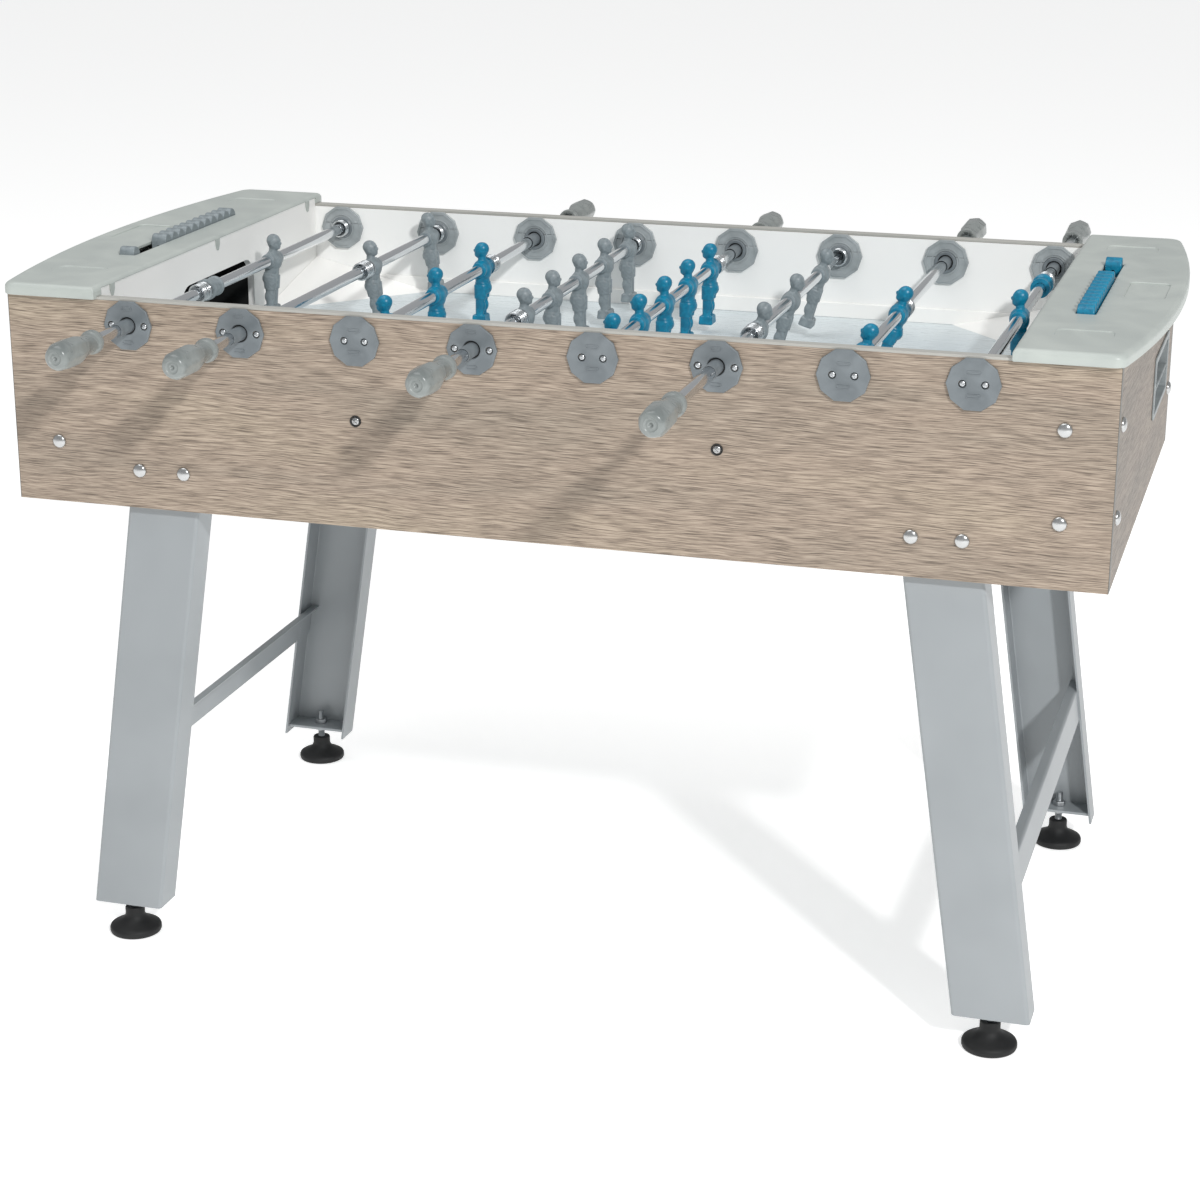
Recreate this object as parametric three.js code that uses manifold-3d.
// A foosball table: a laminated cabinet on two splayed sheet-steel leg frames, with eight
// telescopic player rods, moulded end covers with bead counters, and levelling feet.
// Millimetres. +Z is up, +X runs along the table, and the floor is z = 0 under its centre.

import * as THREE from 'three';
import { mergeVertices } from 'three/addons/utils/BufferGeometryUtils.js';
import Module from 'manifold-3d';

const wasm = await Module();
wasm.setup();

// ---- Driving dimensions -------------------------------------------------------------------

const GAP = 0.3; // clearance between pieces that touch

// Cabinet
const PLAY_WIDTH = 700; // between the faces of the two long panels
const PANEL_THICKNESS = 14;
const PANEL_BOTTOM = 608; // height of the panels' lower edge above the floor
const PANEL_HEIGHT = 268;
const END_BAY = 121; // from the face of a goal wall to the outside of the end panel

// Rods
const ROD_PITCH = 150;
const ROD_BELOW_TOP = 33; // rod axis below the panels' upper edge
const GOAL_GAP = 44; // goalkeeper rod axis to the face of the goal wall
const TUBE_RADIUS = 7.5;
const TUBE_WALL = 2;
const RUNNING_CLEARANCE = 0.6; // on the corner radius of a faceted shaft in a faceted bore
const INNER_ROD_ENGAGEMENT = 120; // left inside the tube at full pull-out
const SHAFT_SIDES = 12;

// Bearings and end sockets
const FLANGE_RADIUS = 32;
const FLANGE_SIDES = 10;
const OUTER_FLANGE = 4;
const INNER_FLANGE = 5;
const BARREL_RADIUS = 15;
const SLEEVE_WALL = 2;
const SLEEVE_OUTSIDE = 36; // reach of the sleeve beyond the panel
const SLEEVE_INSIDE = 40;
const RECESS_RADIUS = 13.5; // dark ring round the sleeve
const RECESS_DEPTH = 2.5;
const RING_RADIUS = 16; // raised ring round the bore, inside the cabinet
const RING_HEIGHT = 2;
const SOCKET_DEPTH = 9; // inner rod's seat in the panel

// Men, about the rod axis
const MAN_WIDTH = 40;
const MAN_HEAD_TOP = 36;
const MAN_FOOT_BOTTOM = 76;
const SOCKET_SIDE_STOP = 20; // man's side to the panel face at full push-in
const SLEEVE_SIDE_STOP = 2; // man's side to the sleeve at full pull-out
const TRAVEL = { 1: 168, 2: 366, 3: 226, 5: 122 }; // rod stroke for each number of men
const BUMPER_RADIUS = 14;
const BUMPER_LENGTH = 34;

// Handles
const HANDLE_LENGTH = 100;
const HANDLE_STANDOFF = 95; // handle to panel at full push-in
const HANDLE_BORE_DEPTH = 62;
const HANDLE_RADIUS = 17;

// Playfield
const FIELD_BELOW_ROD = 88;
const FIELD_THICKNESS = 6;
const RAMP_LENGTH = 183; // of a corner ramp, along X
const RAMP_RISE = 42;
const RAMP_TO_GOAL = 31; // a corner ramp's toe to the edge of the goal mouth
const SIDE_STRIP_HEIGHT = 21;
const SIDE_STRIP_THICKNESS = 3.5;
const BATTEN_WIDTH = 14;
const BATTEN_HEIGHT = 25;

// Goals and ball return
const GOAL_WIDTH = 238;
const GOAL_HEIGHT = 83;
const GOAL_CORNER = 28;
const GOAL_WALL = 10;
const GOAL_POCKET = 76; // depth of the pocket behind a goal wall
const POCKET_BELOW_COVER = 8; // clearance over the pocket
const SHEET = 3;
const RETURN_SIDE = 30;
const RETURN_DROP = 11; // fall of the ball return from left to right
const BALL_PASSAGE = 38; // under the playfield, at the ball return's high end
const OUTLET_CENTRE_Y = 180;
const OUTLET_WIDTH = 176;
const OUTLET_HEIGHT = 74;
const OUTLET_ABOVE_BOTTOM = 97;

// End covers
const COVER_HEIGHT = 19;
const COVER_LAP = 6; // of the rim below the panels' upper edge
const COVER_OVERHANG = 8;
const COVER_NOSE = 2; // overhang past the goal wall
const COVER_LIP = 4.5; // thickness where it lies on the goal wall
const COVER_END_OVERHANG = 5; // past the end panel, at the cover's corners
const COVER_BULGE = 32; // of the outer edge at mid-width
const COVER_ROUND = 7;
const COVER_CORNER = 16; // radius of the outer corners in plan
const COVER_RIM = 4;
const COVER_SKIN = 4;
const RECESS_SIZE = [49, 100, 2];
const RECESS_INWARD = 9; // recess's middle from the end panel's outside
const RECESS_CORNER = 8;

// Bead counters
const BEAD_COUNT = 12; // one scored and the rest waiting
const BEAD_PITCH = 21;
const BEAD_WIDTH = 21;
const BEAD_CLEARANCE = 1.5; // each side in the slot
const BEAD_STANDS = 10; // above the cover
const SLOT_LENGTH = 328;
const SLOT_INWARD = 66; // slot's centre line from the end panel's outside
const RAIL_RADIUS = 2.5;
const RAIL_BELOW = 8; // rail axis below the cover's top

// Leg frames and feet
const LEG_WIDTH = 97;
const LEG_DEPTH = 45;
const LEG_BOTTOM = 44;
const LEG_ABOVE_PANEL_EDGE = 92; // how far the legs run up inside the cabinet
const LEG_FOOT_INWARD = 110; // leg's centre at its bottom, from the end panel's outside
const LEG_LEAN = 0.147; // run along X for each unit of height
const CROSSBAR_BOTTOM = 203;
const CROSSBAR_HEIGHT = 43;
const CROSSBAR_LIP = 14;
const FOOT_PLATE_ABOVE = 10;
const FOOT_PLATE = 4;
const FOOT_INWARD = 18; // foot axis from the leg's outer face
const FOOT_RADIUS = 34.5;
const FOOT_NECK_RADIUS = 13;
const FOOT_NECK_TOP = 36;
const STUD_RADIUS = 5;
const STUD_TOP = 78;
const STUD_HOLE_RADIUS = 6.5;

// ---- Places worked out from them ----------------------------------------------------------

const halfPlay = PLAY_WIDTH / 2;
const panelOutside = halfPlay + PANEL_THICKNESS;
const panelTop = PANEL_BOTTOM + PANEL_HEIGHT;

const TEAMS = {
	grey: { side: 'front', colour: 0x868e90 },
	teal: { side: 'rear', colour: 0x12789a },
};
const RODS = [ // from the left: men, how far each stands pulled out, and its swing at rest in degrees
	{ team: 'grey', line: 'goalkeeper', men: 1, pull: 0, swing: 5 },
	{ team: 'grey', line: 'defence', men: 2, pull: 0, swing: -5 },
	{ team: 'teal', line: 'attack', men: 3, pull: 49, swing: 0 },
	{ team: 'grey', line: 'midfield', men: 5, pull: 0, swing: 0 },
	{ team: 'teal', line: 'midfield', men: 5, pull: 31, swing: 0 },
	{ team: 'grey', line: 'attack', men: 3, pull: 94, swing: 16 },
	{ team: 'teal', line: 'defence', men: 2, pull: 69, swing: 16 },
	{ team: 'teal', line: 'goalkeeper', men: 1, pull: 94, swing: 0 },
];
const rodX = ( index ) => ( index - ( RODS.length - 1 ) / 2 ) * ROD_PITCH;
const rodZ = panelTop - ROD_BELOW_TOP;
const goalFace = rodX( RODS.length - 1 ) + GOAL_GAP;
const halfLength = goalFace + END_BAY;
const fieldTop = rodZ - FIELD_BELOW_ROD;
const fieldUnder = fieldTop - FIELD_THICKNESS;
const coverBottom = panelTop - COVER_LAP;
const coverTop = coverBottom + COVER_HEIGHT;

const boreRadius = TUBE_RADIUS + RUNNING_CLEARANCE;
const sleeveRadius = boreRadius + SLEEVE_WALL;
const tubeBore = TUBE_RADIUS - TUBE_WALL;
const innerRodRadius = tubeBore - RUNNING_CLEARANCE;
const panelHole = BARREL_RADIUS + GAP;
const ringFace = halfPlay - INNER_FLANGE - RING_HEIGHT;
const socketStop = halfPlay - SOCKET_SIDE_STOP - MAN_WIDTH / 2;
const sleeveStop = halfPlay - SLEEVE_INSIDE - SLEEVE_SIDE_STOP - MAN_WIDTH / 2;
const tubeEnd = ringFace - RING_HEIGHT; // at full push-in, on the socket side
const handleStart = panelOutside + HANDLE_STANDOFF; // at full push-in

// ---- Materials ----------------------------------------------------------------------------

const finish = ( color, roughness, metalness = 0 ) =>
	new THREE.MeshStandardMaterial( { color, roughness, metalness } );

const laminate = () => finish( 0xb9aa9a, 0.6 );
const whiteBoard = () => finish( 0xe9e8e4, 0.5 );
const greyMoulding = () => finish( 0x8f9598, 0.45 );
const coverMoulding = () => finish( 0xb4bcb6, 0.4 );
const polishedSteel = () => finish( 0xd5d9db, 0.15, 1 );
const powderCoat = () => finish( 0xaab2b5, 0.5 );
const zincSheet = () => finish( 0xb8bcbe, 0.35, 1 );
const blackRubber = () => finish( 0x1c1d1e, 0.7 );

// ---- From geometry to solids and back -----------------------------------------------------

function toSolid( geometry ) {

	const bare = geometry.clone();
	bare.deleteAttribute( 'normal' );
	bare.deleteAttribute( 'uv' );
	const merged = mergeVertices( bare, 1e-4 );
	return new wasm.Manifold( new wasm.Mesh( {
		numProp: 3,
		vertProperties: new Float32Array( merged.attributes.position.array ),
		triVerts: new Uint32Array( merged.index.array ),
	} ) );

}

function toGeometry( solid ) {

	const { vertProperties, triVerts } = solid.getMesh();
	const geometry = new THREE.BufferGeometry();
	geometry.setAttribute( 'position', new THREE.BufferAttribute( vertProperties, 3 ) );
	geometry.setIndex( new THREE.BufferAttribute( triVerts, 1 ) );
	geometry.computeVertexNormals();
	return geometry;

}

const join = ( solids ) => solids.reduce( ( whole, solid ) => whole.add( solid ) );
const cut = ( solid, tools ) => tools.reduce( ( left, tool ) => left.subtract( tool ), solid );

function box( [ x0, x1 ], [ y0, y1 ], [ z0, z1 ] ) {

	const geometry = new THREE.BoxGeometry( x1 - x0, y1 - y0, z1 - z0 );
	return toSolid( geometry.translate( ( x0 + x1 ) / 2, ( y0 + y1 ) / 2, ( z0 + z1 ) / 2 ) );

}

// A round or many-sided bar along Y, with a corner on the X axis.
function bar( radius, [ y0, y1 ], sides = SHAFT_SIDES, x = 0, z = 0 ) {

	const geometry = new THREE.CylinderGeometry( radius, radius, y1 - y0, sides, 1, false, Math.PI / 2 );
	return toSolid( geometry.translate( x, ( y0 + y1 ) / 2, z ) );

}

// A plan outline raised from z0 to z1.
function plate( shape, [ z0, z1 ], curveSegments = 6 ) {

	const geometry = new THREE.ExtrudeGeometry( shape, {
		depth: z1 - z0, bevelEnabled: false, curveSegments } );
	return toSolid( geometry.translate( 0, 0, z0 ) );

}

// An outline drawn in (x, z) and carried from y0 to y1.
function sidePlate( shape, [ y0, y1 ], curveSegments = 6 ) {

	const geometry = new THREE.ExtrudeGeometry( shape, {
		depth: y1 - y0, bevelEnabled: false, curveSegments } );
	return toSolid( geometry.rotateX( Math.PI / 2 ).translate( 0, y1, 0 ) );

}

// An outline drawn in (y, z) and carried from x0 to x1.
function frontPlate( shape, [ x0, x1 ], curveSegments = 6 ) {

	const geometry = new THREE.ExtrudeGeometry( shape, {
		depth: x1 - x0, bevelEnabled: false, curveSegments } );
	return toSolid( geometry.rotateZ( Math.PI / 2 ).rotateY( Math.PI / 2 ).translate( x0, 0, 0 ) );

}

const outline = ( points ) => new THREE.Shape( points.map( ( [ a, b ] ) => new THREE.Vector2( a, b ) ) );

function roundedRectangle( [ x0, x1 ], [ y0, y1 ], r ) {

	const shape = new THREE.Shape();
	shape.absarc( x1 - r, y1 - r, r, 0, Math.PI / 2 );
	shape.absarc( x0 + r, y1 - r, r, Math.PI / 2, Math.PI );
	shape.absarc( x0 + r, y0 + r, r, Math.PI, 1.5 * Math.PI );
	shape.absarc( x1 - r, y0 + r, r, 1.5 * Math.PI, 2 * Math.PI );
	return shape;

}

function addMesh( group, name, solidOrGeometry, material ) {

	const isGeometry = solidOrGeometry instanceof THREE.BufferGeometry;
	const geometry = isGeometry ? solidOrGeometry : toGeometry( solidOrGeometry );
	const mesh = new THREE.Mesh( geometry, material );
	mesh.name = name;
	group.add( mesh );
	return mesh;

}

// ---- Cabinet panels -----------------------------------------------------------------------

function longPanel( side ) {

	const panel = box( [ - halfLength, halfLength ],
		[ halfPlay, panelOutside ].map( ( y ) => y * side ).sort( ( a, b ) => a - b ),
		[ PANEL_BOTTOM, panelTop ] );
	const reach = [ - panelOutside - 1, panelOutside + 1 ];
	return cut( panel, RODS.map( ( rod, index ) =>
		bar( panelHole, reach, SHAFT_SIDES, rodX( index ), rodZ ) ) );

}

const endPanel = () => box( [ halfLength - PANEL_THICKNESS, halfLength ],
	[ - halfPlay + GAP, halfPlay - GAP ], [ PANEL_BOTTOM, panelTop ] );

const outletY = [ OUTLET_CENTRE_Y - OUTLET_WIDTH / 2, OUTLET_CENTRE_Y + OUTLET_WIDTH / 2 ];
const outletZ = [ PANEL_BOTTOM + OUTLET_ABOVE_BOTTOM, PANEL_BOTTOM + OUTLET_ABOVE_BOTTOM + OUTLET_HEIGHT ];

const outletPanel = () => cut( endPanel(), [
	box( [ halfLength - 2 * PANEL_THICKNESS, halfLength + 1 ], outletY, outletZ ) ] );

// ---- Playfield: the board, its corner ramps, side strips and battens ----------------------

function cornerRamp() {

	const x = goalFace - GAP;
	const y = halfPlay - GAP;
	const rampWidth = ( PLAY_WIDTH - GOAL_WIDTH ) / 2 - RAMP_TO_GOAL;
	const corners = [ [ x, y, fieldUnder ], [ x - RAMP_LENGTH, y, fieldUnder ],
		[ x, y - rampWidth, fieldUnder ], [ x, y, fieldTop + RAMP_RISE ],
		[ x - RAMP_LENGTH, y, fieldTop ], [ x, y - rampWidth, fieldTop ] ];
	const faces = [ 0, 2, 1, 3, 4, 5, 0, 1, 4, 0, 4, 3, 1, 2, 5, 1, 5, 4, 2, 0, 3, 2, 3, 5 ];
	const geometry = new THREE.BufferGeometry();
	geometry.setAttribute( 'position', new THREE.Float32BufferAttribute( corners.flat(), 3 ) );
	geometry.setIndex( faces );
	return toSolid( geometry );

}

function playfield() {

	const y = halfPlay - GAP;
	const boardEnd = goalFace + GOAL_WALL;
	const board = box( [ - boardEnd, boardEnd ], [ - y, y ], [ fieldUnder, fieldTop ] );
	const ramp = cornerRamp();
	const ramps = [ ramp, ramp.mirror( [ 0, 1, 0 ] ) ];
	const stripEnd = goalFace - GAP;
	const battenEnd = goalFace - PANEL_THICKNESS;
	const edges = [ 1, - 1 ].flatMap( ( side ) => {

		const strip = box( [ - stripEnd, stripEnd ], [ y - SIDE_STRIP_THICKNESS, y ],
			[ fieldTop - 1, fieldTop + SIDE_STRIP_HEIGHT ] );
		const batten = box( [ - battenEnd, battenEnd ], [ y - BATTEN_WIDTH, y ],
			[ fieldUnder - BATTEN_HEIGHT, fieldUnder + 1 ] );
		return side > 0 ? [ strip, batten ] : [ strip.mirror( [ 0, 1, 0 ] ), batten.mirror( [ 0, 1, 0 ] ) ];

	} );
	return join( [ board, ...ramps, ...ramps.map( ( r ) => r.mirror( [ 1, 0, 0 ] ) ), ...edges ] );

}

// ---- Goal wall with its pocket ------------------------------------------------------------

function goalWall() {

	const bottom = fieldTop + GAP;
	const top = coverTop - COVER_LIP - GAP;
	const wall = box( [ goalFace, goalFace + GOAL_WALL ], [ - halfPlay + GAP, halfPlay - GAP ], [ bottom, top ] );
	const mouthTop = fieldTop + GOAL_HEIGHT;
	const halfMouth = GOAL_WIDTH / 2;
	const mouth = frontPlate(
		roundedRectangle( [ - halfMouth, halfMouth ], [ fieldTop - 2 * GOAL_CORNER, mouthTop ], GOAL_CORNER ),
		[ goalFace - 1, goalFace + GOAL_WALL + 1 ] );
	const pocketBack = goalFace + GOAL_WALL + GOAL_POCKET;
	const pocketTop = coverBottom - POCKET_BELOW_COVER;
	const shell = box( [ goalFace + GOAL_WALL - 1, pocketBack ],
		[ - halfMouth - 2 * SHEET, halfMouth + 2 * SHEET ], [ bottom, pocketTop ] );
	const hollow = box( [ goalFace + GOAL_WALL - 2, pocketBack - SHEET ],
		[ - halfMouth - SHEET, halfMouth + SHEET ], [ bottom - 1, pocketTop - SHEET ] );
	return cut( wall, [ mouth ] ).add( cut( shell, [ hollow ] ) );

}

// ---- Ball return: a sloping tray under the playfield, open at the outlet ------------------

function ballReturn() {

	const end = halfLength - PANEL_THICKNESS - GAP;
	const nearSide = - GOAL_WIDTH / 2 - 4 * SHEET;
	const farSide = outletY[ 1 ] - 2 * SHEET;
	const floor = fieldUnder - BALL_PASSAGE;
	const top = floor + RETURN_SIDE;
	const tray = box( [ - end, end ], [ nearSide, farSide ], [ floor - SHEET, top ] );
	const inside = box( [ - end + SHEET, end - SHEET ], [ nearSide + SHEET, farSide - SHEET ], [ floor, top + 1 ] );
	const mouth = box( [ end - 2 * SHEET, end + 1 ], [ outletY[ 0 ], farSide - SHEET ], [ floor, top + 1 ] );
	const fall = ( v ) => {

		v[ 2 ] -= RETURN_DROP * ( v[ 0 ] + end ) / ( 2 * end );

	};
	return cut( tray, [ inside, mouth ] ).warp( fall );

}

// ---- End cover with its counter slot, rail and recess -------------------------------------

const slotX = halfLength - SLOT_INWARD;
const slotHalfWidth = BEAD_WIDTH / 2 + BEAD_CLEARANCE;
const railZ = coverTop - RAIL_BELOW;

function coverOutline( inset ) {

	const inner = goalFace - COVER_NOSE + inset;
	const y = panelOutside + COVER_OVERHANG - inset;
	const corner = halfLength + COVER_END_OVERHANG - inset;
	const bulge = COVER_BULGE;
	const chord = y - COVER_CORNER;
	const radius = ( chord * chord + bulge * bulge ) / ( 2 * bulge );
	const centre = corner + bulge - radius;
	const sweep = Math.asin( chord / radius );
	const shape = new THREE.Shape();
	shape.moveTo( inner, - y );
	shape.lineTo( corner - COVER_CORNER, - y );
	shape.quadraticCurveTo( corner - 2, - y, corner, - chord );
	shape.absarc( centre, 0, radius, - sweep, sweep );
	shape.quadraticCurveTo( corner - 2, y, corner - COVER_CORNER, y );
	shape.lineTo( inner, y );
	return shape;

}

function endCover() {

	const segments = 5;
	const shoulder = coverTop - COVER_ROUND;
	const layers = [ plate( coverOutline( 0 ), [ coverBottom, shoulder ], segments ) ];
	const steps = 3;
	for ( let step = 0; step < steps; step ++ ) { // the rounded upper edge, in thin layers

		const low = Math.sin( step / steps * Math.PI / 2 );
		const high = Math.sin( ( step + 1 ) / steps * Math.PI / 2 );
		const inset = COVER_ROUND * ( 1 - Math.sqrt( 1 - ( low + high ) ** 2 / 4 ) );
		layers.push( plate( coverOutline( inset ),
			[ shoulder + COVER_ROUND * low - 0.1, shoulder + COVER_ROUND * high ], segments ) );

	}

	const nose = goalFace - COVER_NOSE;
	const panelY = halfPlay - GAP;
	const seat = panelTop + GAP;
	const outer = panelOutside + GAP;
	const pocket = box( [ nose + COVER_RIM, halfLength + GAP ], [ - outer, outer ], [ coverBottom - 1, seat ] );
	const notches = [ - 1, 1 ].map( ( side ) => box( [ nose - 1, nose + 2 * COVER_RIM ],
		[ panelY, outer ].map( ( y ) => y * side ).sort( ( a, b ) => a - b ), [ coverBottom - 1, seat ] ) );
	const ledge = box( [ nose - 1, goalFace + GOAL_WALL + GAP ], [ - halfPlay, halfPlay ],
		[ coverBottom - 1, coverTop - COVER_LIP ] );
	const halfSlot = SLOT_LENGTH / 2;
	const well = box( [ slotX - 2 * slotHalfWidth, slotX + 2 * slotHalfWidth ],
		[ - halfSlot - 10, halfSlot + 10 ], [ coverBottom - 1, coverTop - COVER_SKIN ] );
	const slot = box( [ slotX - slotHalfWidth, slotX + slotHalfWidth ], [ - halfSlot, halfSlot ],
		[ coverTop - 2 * COVER_SKIN, coverTop + 1 ] );
	const recessX = halfLength - RECESS_INWARD;
	const [ recessLength, recessWidth, recessDepth ] = RECESS_SIZE;
	const recess = plate( roundedRectangle( [ recessX - recessLength / 2, recessX + recessLength / 2 ],
		[ - recessWidth / 2, recessWidth / 2 ], RECESS_CORNER ), [ coverTop - recessDepth, coverTop + 1 ], 3 );
	const rail = bar( RAIL_RADIUS, [ - halfSlot - 8, halfSlot + 8 ], 8, slotX, railZ );
	const blocks = [ - 1, 1 ].map( ( side ) => box( [ slotX - 6, slotX + 6 ],
		[ halfSlot, halfSlot + 9.9 ].map( ( y ) => y * side ).sort( ( a, b ) => a - b ),
		[ railZ - 6, coverTop - COVER_SKIN + 1 ] ) );
	return cut( join( layers ), [ pocket, ledge, ...notches, well, slot, recess ] ).add( join( [ rail, ...blocks ] ) );

}

// ---- Beads: half-round lobes that lean towards the scored end -----------------------------

function beads( count, start ) {

	const foot = railZ - 2 * RAIL_RADIUS - 1;
	const crest = coverTop + BEAD_STANDS;
	const shape = new THREE.Shape();
	shape.moveTo( start, foot );
	for ( let bead = 0; bead < count; bead ++ ) {

		const y = start + bead * BEAD_PITCH;
		shape.lineTo( y, coverTop );
		shape.quadraticCurveTo( y + 0.1 * BEAD_PITCH, crest, y + 0.55 * BEAD_PITCH, crest );
		shape.quadraticCurveTo( y + 0.9 * BEAD_PITCH, crest, y + BEAD_PITCH, coverTop );

	}

	const end = start + count * BEAD_PITCH;
	shape.lineTo( end, foot );
	const body = frontPlate( shape, [ slotX - BEAD_WIDTH / 2, slotX + BEAD_WIDTH / 2 ], 3 );
	return cut( body, [ bar( RAIL_RADIUS + RUNNING_CLEARANCE, [ start - 1, end + 1 ], 8, slotX, railZ ) ] );

}

// ---- Leg frame: two folded channels, a welded crossbar and foot plates --------------------

const legFace = halfPlay - GAP;
const legFootX = halfLength - LEG_FOOT_INWARD;
const footY = legFace - FOOT_INWARD;
const footX = legFootX - LEG_LEAN * ( FOOT_PLATE_ABOVE + FOOT_PLATE / 2 );

function legFrame() {

	const half = LEG_WIDTH / 2;
	const top = PANEL_BOTTOM + LEG_ABOVE_PANEL_EDGE;
	const plateZ = LEG_BOTTOM + FOOT_PLATE_ABOVE;
	const channel = cut(
		box( [ - half, half ], [ legFace - LEG_DEPTH, legFace ], [ LEG_BOTTOM, top ] ),
		[ box( [ - half + SHEET, half - SHEET ], [ legFace - LEG_DEPTH - 1, legFace - SHEET ],
			[ LEG_BOTTOM - 1, top + 1 ] ) ] );
	const studHole = new THREE.CylinderGeometry( STUD_HOLE_RADIUS, STUD_HOLE_RADIUS, 4 * FOOT_PLATE, SHAFT_SIDES );
	studHole.rotateX( Math.PI / 2 ).translate( 0, footY, plateZ );
	const footPlate = cut(
		box( [ - half + 1, half - 1 ], [ legFace - LEG_DEPTH + 5, legFace - 1 ], [ plateZ, plateZ + FOOT_PLATE ] ),
		[ toSolid( studHole ) ] );
	const leg = channel.add( footPlate );
	const crossTop = CROSSBAR_BOTTOM + CROSSBAR_HEIGHT;
	const crossFace = half - SHEET + 0.2; // laid against the outer flange
	const crossEnd = legFace - SHEET + 0.2;
	const crossbar = box( [ crossFace - SHEET, crossFace ], [ - crossEnd, crossEnd ], [ CROSSBAR_BOTTOM, crossTop ] );
	const lip = box( [ crossFace - CROSSBAR_LIP, crossFace ], [ - crossEnd, crossEnd ],
		[ crossTop - SHEET, crossTop ] );
	const lean = ( v ) => {

		v[ 0 ] += legFootX - LEG_LEAN * ( v[ 2 ] - LEG_BOTTOM );

	};
	return join( [ leg, leg.mirror( [ 0, 1, 0 ] ), crossbar, lip ] ).warp( lean );

}

function levellingFoot() {

	const neck = FOOT_NECK_RADIUS;
	const profile = [ [ 0, 0 ], [ FOOT_RADIUS - 2, 0 ], [ FOOT_RADIUS, 2.5 ], [ FOOT_RADIUS, 8 ],
		[ FOOT_RADIUS - 3, 11.5 ], [ neck + 3, 20 ], [ neck, 24 ], [ neck, FOOT_NECK_TOP ],
		[ STUD_RADIUS, FOOT_NECK_TOP ], [ STUD_RADIUS, STUD_TOP ], [ 0, STUD_TOP ] ];
	const lathe = new THREE.LatheGeometry( profile.map( ( [ r, z ] ) => new THREE.Vector2( r, z ) ), SHAFT_SIDES );
	return toSolid( lathe.rotateX( Math.PI / 2 ) );

}

// ---- Rods, drawn with the handle towards +Y and the men facing -X -------------------------

function man( y ) {

	const half = MAN_WIDTH / 2;
	const foot = box( [ - 10, 10 ], [ y - 13, y + 13 ], [ - MAN_FOOT_BOTTOM, - MAN_FOOT_BOTTOM + 13 ] );
	const legs = sidePlate( outline( [ [ - 6, - MAN_FOOT_BOTTOM + 12 ], [ 6, - MAN_FOOT_BOTTOM + 12 ],
		[ 8, - 38 ], [ 11, - 18 ], [ 10, - 8 ], [ - 13, - 8 ], [ - 8, - 38 ] ] ), [ y - 13, y + 13 ] );
	const torso = frontPlate( outline( [ [ y - 14, - 20 ], [ y + 14, - 20 ], [ y + half, 2 ],
		[ y + half, 12 ], [ y + 8, 19 ], [ y - 8, 19 ], [ y - half, 12 ], [ y - half, 2 ] ] ), [ - 17, 11 ] );
	const headRadius = 10.5;
	const head = new THREE.SphereGeometry( headRadius, 7, 5 );
	head.scale( 1, 0.86, 1.05 ).rotateX( Math.PI / 2 ).translate( - 6.5, y, MAN_HEAD_TOP - headRadius );
	return join( [ foot, legs, torso, toSolid( head ) ] );

}

function playerRod( rod ) {

	const stroke = TRAVEL[ rod.men ];
	const span = rod.men > 1 ? socketStop + sleeveStop - stroke : 0; // first man to last
	const spacing = rod.men > 1 ? span / ( rod.men - 1 ) : 0;
	const first = rod.men > 1 ? - socketStop : - stroke / 2;
	const men = Array.from( { length: rod.men }, ( _, index ) => man( first + index * spacing ) );
	const tube = bar( TUBE_RADIUS, [ - tubeEnd, handleStart + HANDLE_BORE_DEPTH - GAP ] );
	const parts = [ tube, ...men ];
	if ( rod.men === 1 ) { // a bumper ring stops the goalkeeper short of the sleeve

		const bumperEnd = sleeveStop + MAN_WIDTH / 2 - stroke;
		parts.push( bar( BUMPER_RADIUS, [ bumperEnd - BUMPER_LENGTH, bumperEnd ] ) );

	}

	return cut( join( parts ), [ bar( tubeBore, [ - halfPlay, handleStart + HANDLE_LENGTH ] ) ] );

}

function innerRod( rod ) {

	const seat = halfPlay + SOCKET_DEPTH;
	return bar( innerRodRadius, [ - seat, - tubeEnd + TRAVEL[ rod.men ] + INNER_ROD_ENGAGEMENT ] );

}

function handle() {

	const bore = TUBE_RADIUS + GAP + 0.05;
	const tip = HANDLE_LENGTH;
	const profile = [ [ 0, HANDLE_BORE_DEPTH ], [ bore, HANDLE_BORE_DEPTH ], [ bore, 0 ], [ 13.4, 0 ],
		[ 14.4, 2 ], [ 14.4, 9 ], [ 12, 14 ], [ 11.6, 26 ], [ HANDLE_RADIUS, 62 ],
		[ HANDLE_RADIUS, 82 ], [ 14, 94 ], [ 9, tip ], [ 0, tip ] ];
	const points = profile.map( ( [ r, y ] ) => new THREE.Vector2( r, handleStart + y ) );
	return toSolid( new THREE.LatheGeometry( points, SHAFT_SIDES, Math.PI / 2 ) );

}

function bearing() {

	const outerFace = panelOutside + GAP;
	const innerFace = halfPlay - GAP;
	const solid = join( [
		bar( FLANGE_RADIUS, [ outerFace, outerFace + OUTER_FLANGE ], FLANGE_SIDES ),
		bar( FLANGE_RADIUS, [ innerFace - INNER_FLANGE, innerFace ], FLANGE_SIDES ),
		bar( BARREL_RADIUS, [ innerFace - 1, outerFace + 1 ] ),
		bar( RING_RADIUS, [ ringFace, innerFace - 1 ] ),
	] );
	const ringRecess = bar( RECESS_RADIUS, [ outerFace + OUTER_FLANGE - RECESS_DEPTH, outerFace + 2 * OUTER_FLANGE ] );
	const sleeve = bar( sleeveRadius, [ halfPlay - SLEEVE_INSIDE, panelOutside + SLEEVE_OUTSIDE ] );
	return cut( cut( solid, [ ringRecess ] ).add( sleeve ), [ bar( boreRadius, [ 0, 2 * panelOutside ] ) ] );

}

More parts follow.
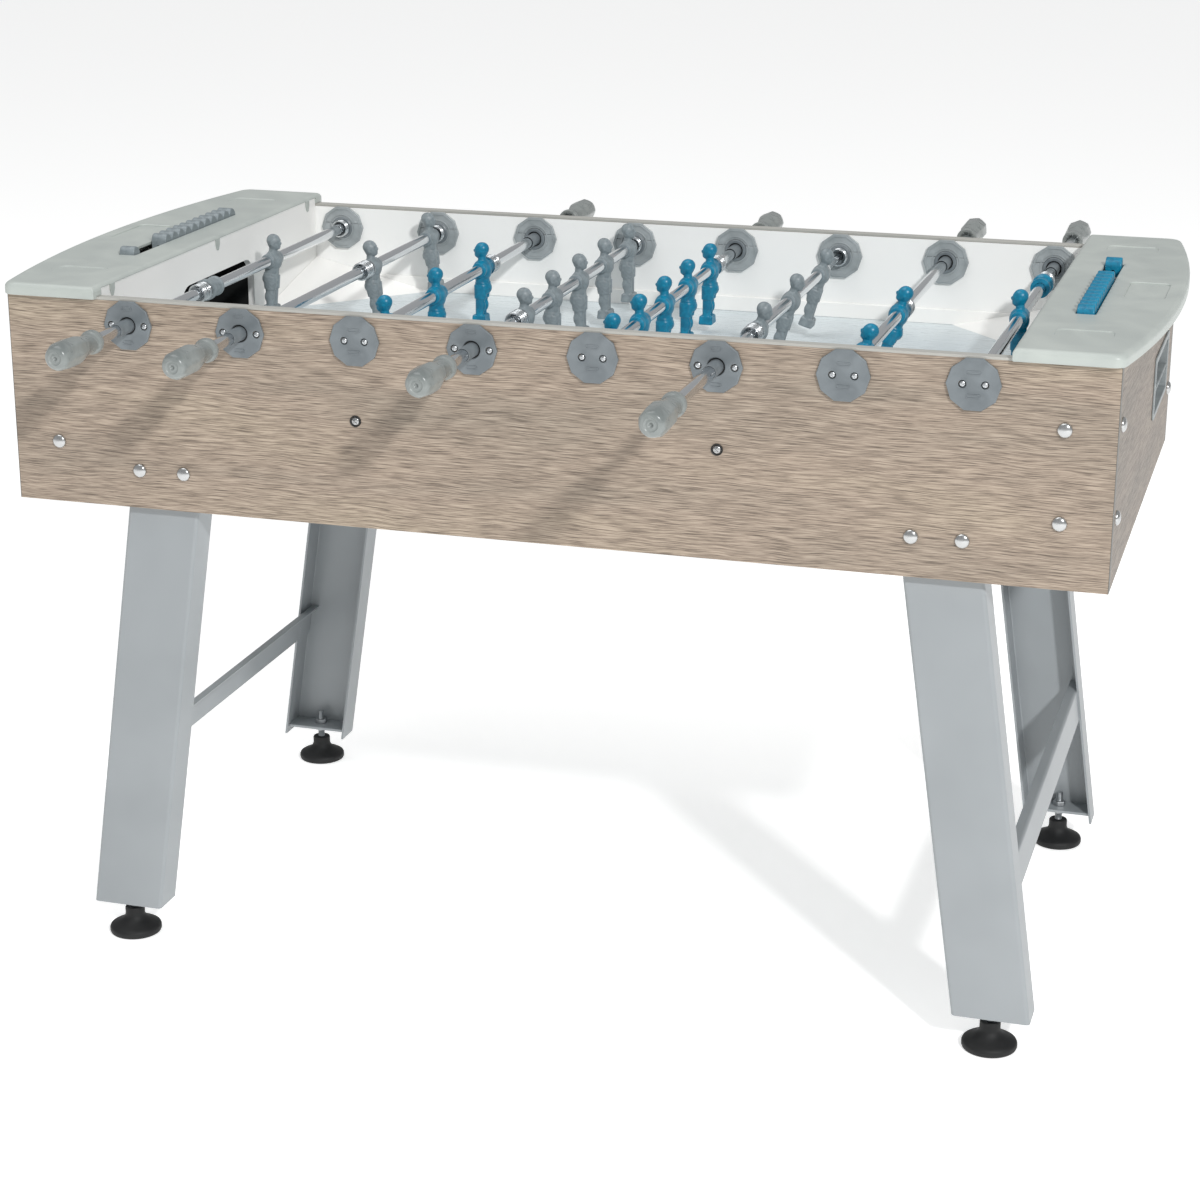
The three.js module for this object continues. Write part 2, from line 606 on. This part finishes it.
function endSocket() {

	const outerFace = - panelOutside - GAP;
	const innerFace = - halfPlay + GAP;
	const solid = join( [
		bar( FLANGE_RADIUS, [ outerFace - OUTER_FLANGE, outerFace ], FLANGE_SIDES ),
		bar( FLANGE_RADIUS, [ innerFace, innerFace + INNER_FLANGE ], FLANGE_SIDES ),
		bar( BARREL_RADIUS, [ outerFace - 1, innerFace + 1 ] ),
		bar( RING_RADIUS, [ innerFace + 1, - ringFace ] ),
	] );
	const seat = - halfPlay - SOCKET_DEPTH - GAP;
	return cut( solid, [ bar( innerRodRadius + RUNNING_CLEARANCE, [ seat, 0 ] ) ] );

}

// ---- Assembly -----------------------------------------------------------------------------

const table = new THREE.Group();

addMesh( table, 'front_panel', longPanel( - 1 ), laminate() );
addMesh( table, 'rear_panel', longPanel( 1 ), laminate() );
addMesh( table, 'playfield', playfield(), whiteBoard() );
addMesh( table, 'ball_return', ballReturn(), zincSheet() );

for ( const end of [ { name: 'right', turn: 0, team: 'teal' }, { name: 'left', turn: Math.PI, team: 'grey' } ] ) {

	const group = new THREE.Group();
	group.rotation.z = end.turn;
	table.add( group );

	addMesh( group, `${ end.name }_end_panel`, end.name === 'right' ? outletPanel() : endPanel(), laminate() );
	addMesh( group, `${ end.name }_goal_wall`, goalWall(), whiteBoard() );
	addMesh( group, `${ end.name }_end_cover`, endCover(), coverMoulding() );

	const beadStart = - SLOT_LENGTH / 2 + GAP;
	const scoredStart = SLOT_LENGTH / 2 - GAP - BEAD_PITCH;
	const beadColour = TEAMS[ end.team ].colour;
	addMesh( group, `${ end.name }_bead_stack`, beads( BEAD_COUNT - 1, beadStart ), finish( beadColour, 0.35 ) );
	addMesh( group, `${ end.name }_scored_bead`, beads( 1, scoredStart ), finish( beadColour, 0.35 ) );

	addMesh( group, `${ end.name }_leg_frame`, legFrame(), powderCoat() );
	for ( const side of [ - 1, 1 ] ) {

		const where = side * ( end.turn ? - 1 : 1 ) < 0 ? 'front' : 'rear';
		const foot = addMesh( group, `${ where }_${ end.name }_foot`, levellingFoot(), blackRubber() );
		foot.position.set( footX, side * footY, 0 );

	}

}

RODS.forEach( ( rod, index ) => {

	const name = `${ rod.team }_${ rod.line }`;
	const team = TEAMS[ rod.team ];
	const place = new THREE.Group(); // at the rod's axis, with +Y towards its handle
	place.position.set( rodX( index ), 0, rodZ );
	place.rotation.z = team.side === 'front' ? Math.PI : 0;
	table.add( place );
	addMesh( place, `${ name }_bearing`, bearing(), greyMoulding() );
	addMesh( place, `${ name }_end_socket`, endSocket(), greyMoulding() );

	const turning = new THREE.Group();
	turning.rotation.y = THREE.MathUtils.degToRad( rod.swing ) * ( team.side === 'front' ? - 1 : 1 );
	place.add( turning );
	addMesh( turning, `${ name }_inner_rod`, innerRod( rod ), polishedSteel() );

	const sliding = new THREE.Group();
	sliding.position.y = rod.pull;
	turning.add( sliding );
	addMesh( sliding, `${ name }_rod`, playerRod( rod ), finish( team.colour, 0.45 ) );
	addMesh( sliding, `${ name }_handle`, handle(), greyMoulding() );

} );

export default table;
